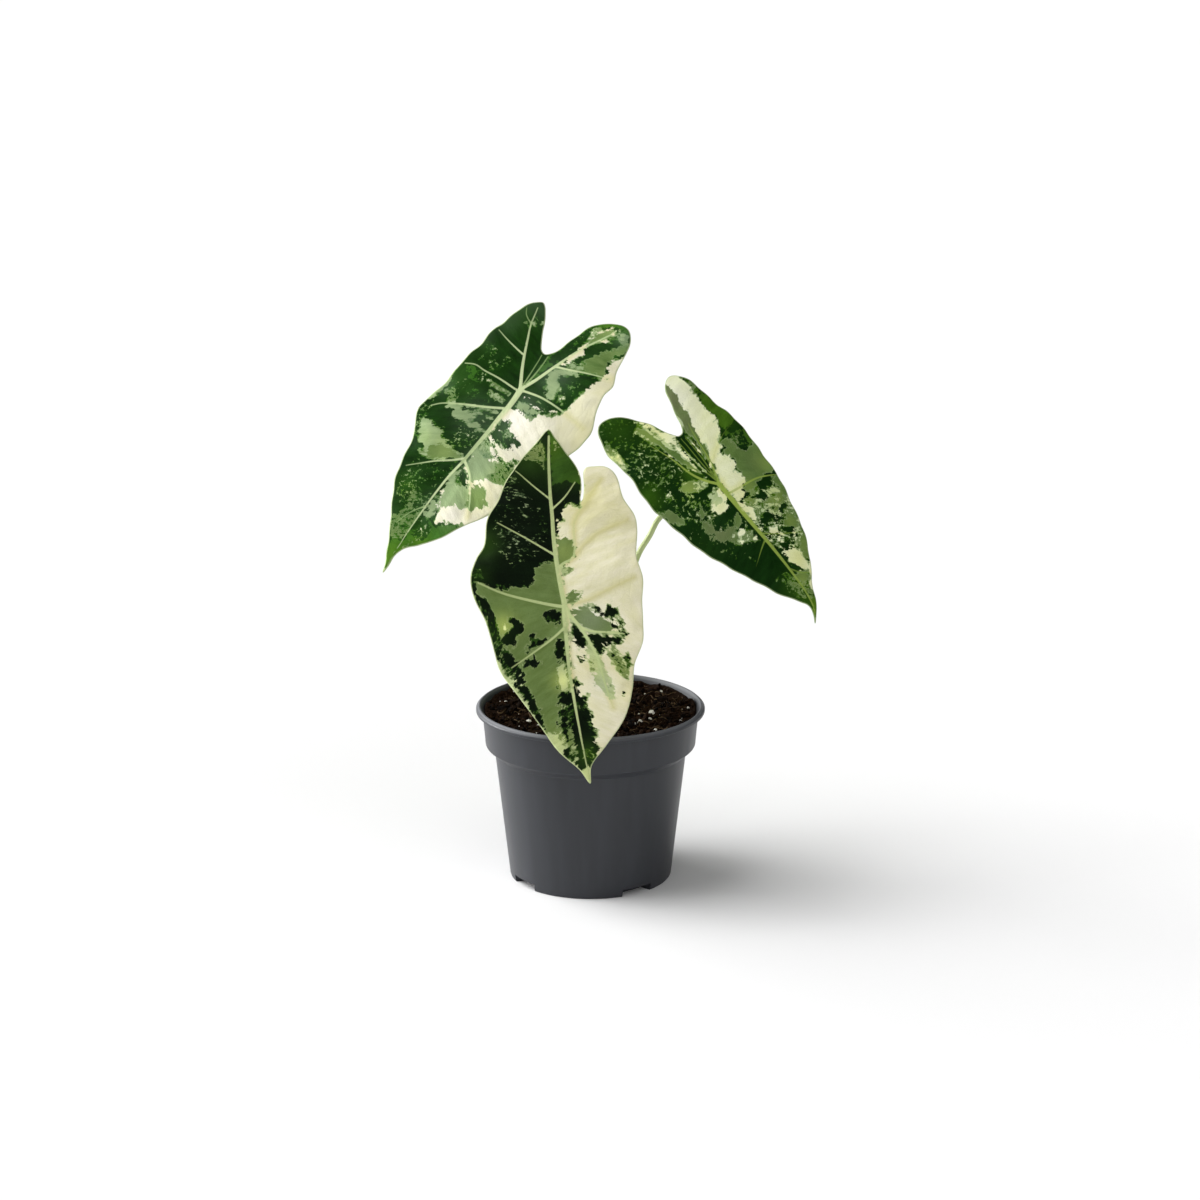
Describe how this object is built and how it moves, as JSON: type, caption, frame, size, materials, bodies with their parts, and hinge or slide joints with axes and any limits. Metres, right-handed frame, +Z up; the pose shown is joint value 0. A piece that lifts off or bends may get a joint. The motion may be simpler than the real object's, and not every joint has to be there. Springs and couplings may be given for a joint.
{
  "type": "potted alocasia frydek",
  "caption": "Variegated velvet-leaved aroid house plant with arrow-shaped waved leaves on slender stalks, rooted in soil in a round tapered plastic nursery pot.",
  "frame": {"origin": "centre of the pot's foot, on the surface it stands on", "axes": "+Z up along the pot's axis, +X to the right of the side that the leaves face, +Y to the back"},
  "size_m": [0.227, 0.1432, 0.295],
  "materials": {
    "pot_plastic": "moulded polypropylene, satin",
    "potting_soil": "loose peat and bark mix with perlite, matt",
    "crown_skin": "smooth plant skin",
    "petiole_skin": "smooth waxy plant skin",
    "leaf_velvet": "velvety leaf, dark green with sage and cream variegation"
  },
  "bodies": {
    "root": {"pot": "pot_plastic", "soil": "potting_soil", "crown": "crown_skin", "petiole_left": "petiole_skin", "petiole_front": "petiole_skin", "petiole_right": "petiole_skin", "blade_left": "leaf_velvet", "blade_front": "leaf_velvet", "blade_right": "leaf_velvet"}
  },
  "joints": []
}
